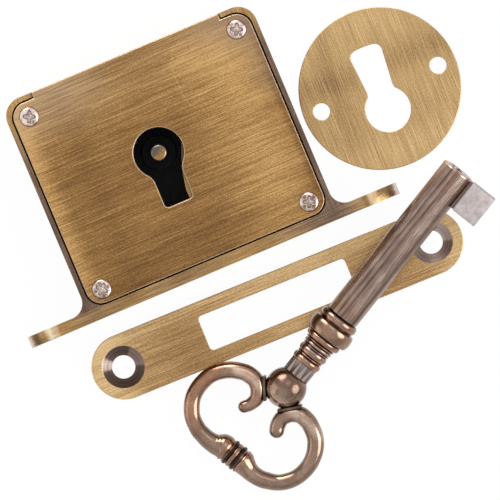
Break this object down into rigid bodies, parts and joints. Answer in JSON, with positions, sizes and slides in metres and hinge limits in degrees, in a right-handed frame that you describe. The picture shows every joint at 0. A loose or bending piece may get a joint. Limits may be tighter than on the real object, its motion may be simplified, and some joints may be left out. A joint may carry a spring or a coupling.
{
  "type": "drawer lock set",
  "caption": "Drawer lock with a screwed cover and a sliding bolt, laid out with its strike plate, round keyhole escutcheon and barrel key with a scrolled bow.",
  "frame": {"origin": "on the axis of the key pin, at the back of the lock case, which lies on the table", "axes": "+Z out of the cover, +X along the forend, -Y out of the forend, the way the bolt is shot"},
  "size_m": [0.0946, 0.0877, 0.0137],
  "materials": {
    "aged_brass": "brushed antique brass, clear coated",
    "dark_brass": "darkened brass",
    "plain_brass": "plain brass",
    "steel": "bright steel",
    "nickel": "nickel plated",
    "aged_copper": "glossy antique copper plating",
    "brushed_copper": "satin antique copper plating"
  },
  "bodies": {
    "lock_body": {"lock_case": "dark_brass", "cover_plate": "aged_brass", "cover_screw_1": "nickel", "cover_screw_2": "nickel", "cover_screw_3": "nickel", "cover_screw_4": "nickel", "key_pin": "plain_brass", "guide_stud_left": "steel", "guide_stud_right": "steel", "lever_post": "steel", "lever_washer": "steel"},
    "bolt": {"bolt": "plain_brass", "gate_stump": "steel"},
    "lever": {"lever": "steel", "lever_spring": "steel"},
    "strike": {"strike_plate": "aged_brass"},
    "key": {"key_bow": "aged_copper", "key_barrel": "brushed_copper"},
    "escutcheon": {"escutcheon": "aged_brass"}
  },
  "joints": [
    {"name": "bolt_slide", "type": "slide", "parent": "lock_body", "child": "bolt", "axis": [0, -1, 0], "range_m": [0, 0.008]},
    {"name": "lever_pivot", "type": "hinge", "parent": "lock_body", "child": "lever", "pos_m": [0.0155, 0.014, 0.008], "axis": [0, 0, 1], "range_deg": [-4.5, 2.5], "stiffness_Nm_per_rad": 0.01, "springref_deg": -6.88, "deforming": ["lever_spring"]},
    {"name": "strike_lift", "type": "slide", "parent": "lock_body", "child": "strike", "axis": [0, 0, 1], "range_m": [0, 0.03]},
    {"name": "key_lift", "type": "slide", "parent": "strike", "child": "key", "axis": [0, 0, 1], "range_m": [0, 0.03]},
    {"name": "escutcheon_lift", "type": "slide", "parent": "lock_body", "child": "escutcheon", "axis": [0, 0, 1], "range_m": [0, 0.03]}
  ]
}
